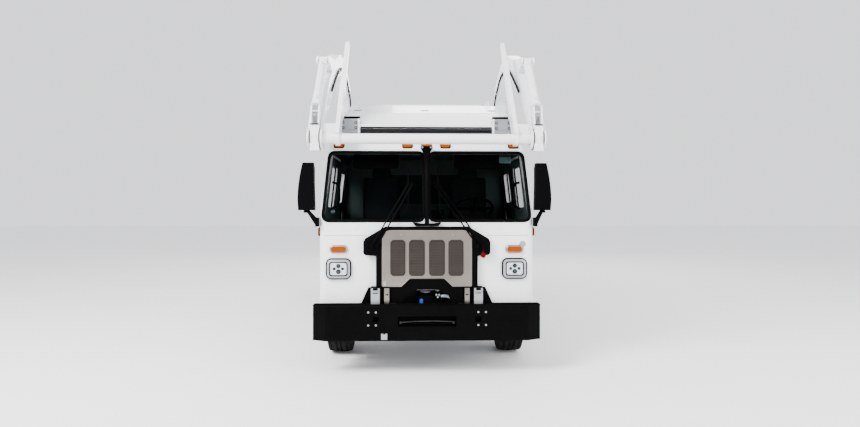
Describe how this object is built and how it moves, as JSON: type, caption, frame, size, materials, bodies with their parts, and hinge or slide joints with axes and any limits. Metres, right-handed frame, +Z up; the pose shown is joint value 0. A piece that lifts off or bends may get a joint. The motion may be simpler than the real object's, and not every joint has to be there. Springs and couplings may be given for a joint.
{
  "type": "front-loading garbage truck",
  "caption": "Low cab-over refuse truck with overhead lift arms and folding forks, open-top hopper with sliding lid, packer body, ejector and top-hinged tailgate on three axles.",
  "frame": {"origin": "on the ground under the middle of the truck, half way along and half way across", "axes": "+Z up, the cab faces -Y, +X is the truck's left side"},
  "size_m": [2.79, 9.3, 3.8969],
  "materials": {
    "amber": "gloss",
    "black_plastic": "matte",
    "black_steel": "satin",
    "body_paint": "gloss",
    "bright_grille": "satin",
    "cast": "matte",
    "chassis_black": "satin",
    "chrome": "gloss",
    "fabric": "matte",
    "glass": "gloss",
    "lamp": "gloss",
    "paint": "gloss",
    "red_lens": "gloss",
    "tyre": "matte",
    "zinc": "satin"
  },
  "bodies": {
    "truck": {"arm_pivots": "body_paint", "body_shell": "body_paint", "body_sills": "chassis_black", "cab_canopy": "body_paint", "cab_glass": "glass", "cab_mounts": "chassis_black", "cab_shell": "paint", "canopy_brackets": "zinc", "chassis_frame": "chassis_black", "dashboard": "black_plastic", "engine_block": "cast", "front_axle": "cast", "front_bumper": "black_steel", "front_steps": "black_plastic", "front_supports": "chassis_black", "grille_panel": "bright_grille", "grille_surround": "black_steel", "headlamps": "lamp", "hopper": "body_paint", "mirrors": "black_plastic", "rear_axles": "cast", "rear_fenders": "chassis_black", "seats": "fabric", "service_unit": "black_plastic", "side_tanks": "chassis_black", "tail_lamps": "red_lens", "turn_lamps": "amber", "wipers": "black_plastic"},
    "knuckle_left": {"knuckle_left": "cast"},
    "front_wheel_left": {"front_tyre_left": "tyre", "front_rim_left": "paint"},
    "middle_wheels_left": {"middle_tyres_left": "tyre", "middle_rims_left": "paint"},
    "rear_wheels_left": {"rear_tyres_left": "tyre", "rear_rims_left": "paint"},
    "door_left": {"door_left": "paint", "door_glass_left": "glass"},
    "knuckle_right": {"knuckle_right": "cast"},
    "front_wheel_right": {"front_tyre_right": "tyre", "front_rim_right": "paint"},
    "middle_wheels_right": {"middle_tyres_right": "tyre", "middle_rims_right": "paint"},
    "rear_wheels_right": {"rear_tyres_right": "tyre", "rear_rims_right": "paint"},
    "door_right": {"door_right": "paint", "door_glass_right": "glass"},
    "lift_arms": {"lift_arms": "body_paint"},
    "forks": {"forks": "body_paint"},
    "lift_barrels": {"lift_barrels": "body_paint"},
    "lift_rods": {"lift_rods": "chrome"},
    "fork_barrels": {"fork_barrels": "body_paint"},
    "fork_rods": {"fork_rods": "chrome"},
    "tailgate": {"tailgate": "body_paint"},
    "tailgate_barrels": {"tailgate_barrels": "body_paint"},
    "tailgate_rods": {"tailgate_rods": "chrome"},
    "hopper_lid": {"hopper_lid": "body_paint"},
    "ejector_panel": {"ejector_panel": "body_paint"}
  },
  "joints": [
    {"name": "steer_left", "type": "hinge", "parent": "truck", "child": "knuckle_left", "pos_m": [0.925, -3.4, 0.53], "axis": [0, 0, 1], "range_deg": [-38, 38]},
    {"name": "front_wheel_left_spin", "type": "hinge", "parent": "knuckle_left", "child": "front_wheel_left", "pos_m": [1.05, -3.4, 0.53], "axis": [1, 0, 0], "continuous": true},
    {"name": "middle_wheels_left_spin", "type": "hinge", "parent": "truck", "child": "middle_wheels_left", "pos_m": [0.925, 1.14, 0.53], "axis": [1, 0, 0], "continuous": true},
    {"name": "rear_wheels_left_spin", "type": "hinge", "parent": "truck", "child": "rear_wheels_left", "pos_m": [0.925, 2.46, 0.53], "axis": [1, 0, 0], "continuous": true},
    {"name": "door_left_hinge", "type": "hinge", "parent": "truck", "child": "door_left", "pos_m": [1.185, -4.309, 1.7], "axis": [0, 0, -1], "range_deg": [0, 70]},
    {"name": "steer_right", "type": "hinge", "parent": "truck", "child": "knuckle_right", "pos_m": [-0.925, -3.4, 0.53], "axis": [0, 0, 1], "range_deg": [-38, 38]},
    {"name": "front_wheel_right_spin", "type": "hinge", "parent": "knuckle_right", "child": "front_wheel_right", "pos_m": [-1.05, -3.4, 0.53], "axis": [1, 0, 0], "continuous": true},
    {"name": "middle_wheels_right_spin", "type": "hinge", "parent": "truck", "child": "middle_wheels_right", "pos_m": [-0.925, 1.14, 0.53], "axis": [1, 0, 0], "continuous": true},
    {"name": "rear_wheels_right_spin", "type": "hinge", "parent": "truck", "child": "rear_wheels_right", "pos_m": [-0.925, 2.46, 0.53], "axis": [1, 0, 0], "continuous": true},
    {"name": "door_right_hinge", "type": "hinge", "parent": "truck", "child": "door_right", "pos_m": [-1.185, -4.309, 1.7], "axis": [0, 0, 1], "range_deg": [0, 70]},
    {"name": "lift_arm_pivot", "type": "hinge", "parent": "truck", "child": "lift_arms", "pos_m": [0, -2.5, 1.3], "axis": [-1, 0, 0], "range_deg": [-47.4, 45]},
    {"name": "fork_pivot", "type": "hinge", "parent": "lift_arms", "child": "forks", "pos_m": [0, -4.53, 2.555], "axis": [-1, 0, 0], "range_deg": [-90, 0]},
    {"name": "lift_barrel_pivot", "type": "hinge", "parent": "truck", "child": "lift_barrels", "pos_m": [0, -1.2, 0.98], "axis": [-1, 0, 0], "range_deg": [-0.81, 0.77]},
    {"name": "lift_rod_slide", "type": "slide", "parent": "lift_barrels", "child": "lift_rods", "axis": [0, -0.9985, 0.0549], "range_m": [-0.19027, 0.18067]},
    {"name": "fork_barrel_pivot", "type": "hinge", "parent": "lift_arms", "child": "fork_barrels", "pos_m": [0, -3.95, 3.55], "axis": [-1, 0, 0], "range_deg": [0, 2.37]},
    {"name": "fork_rod_slide", "type": "slide", "parent": "fork_barrels", "child": "fork_rods", "axis": [0, -0.6416, -0.767], "range_m": [-0.00089, 0.4441]},
    {"name": "tailgate_hinge", "type": "hinge", "parent": "truck", "child": "tailgate", "pos_m": [0, 3.6, 3.385], "axis": [1, 0, 0], "range_deg": [0, 85]},
    {"name": "tailgate_barrel_pivot", "type": "hinge", "parent": "truck", "child": "tailgate_barrels", "pos_m": [0, 3.2, 1.985], "axis": [1, 0, 0], "range_deg": [-0.02, 11.56]},
    {"name": "tailgate_rod_slide", "type": "slide", "parent": "tailgate_barrels", "child": "tailgate_rods", "axis": [0, 0.5513, 0.8343], "range_m": [-0.001, 0.50067]},
    {"name": "lid_slide", "type": "slide", "parent": "truck", "child": "hopper_lid", "axis": [0, 1, 0], "range_m": [0, 1.65]},
    {"name": "ejector_slide", "type": "slide", "parent": "truck", "child": "ejector_panel", "axis": [0, 1, 0], "range_m": [0, 5.7]}
  ],
  "couplings": [
    {"joint": "steer_right", "follows": "steer_left", "ratio": 1},
    {"joint": "lift_barrel_pivot", "follows": "lift_arm_pivot", "ratio": 0.017039},
    {"joint": "lift_rod_slide", "follows": "lift_arm_pivot", "m_per_rad": 0.2291},
    {"joint": "fork_barrel_pivot", "follows": "fork_pivot", "ratio": -0.026312},
    {"joint": "fork_rod_slide", "follows": "fork_pivot", "m_per_rad": -0.28216},
    {"joint": "tailgate_barrel_pivot", "follows": "tailgate_hinge", "ratio": 0.13568},
    {"joint": "tailgate_rod_slide", "follows": "tailgate_hinge", "m_per_rad": 0.33681}
  ]
}
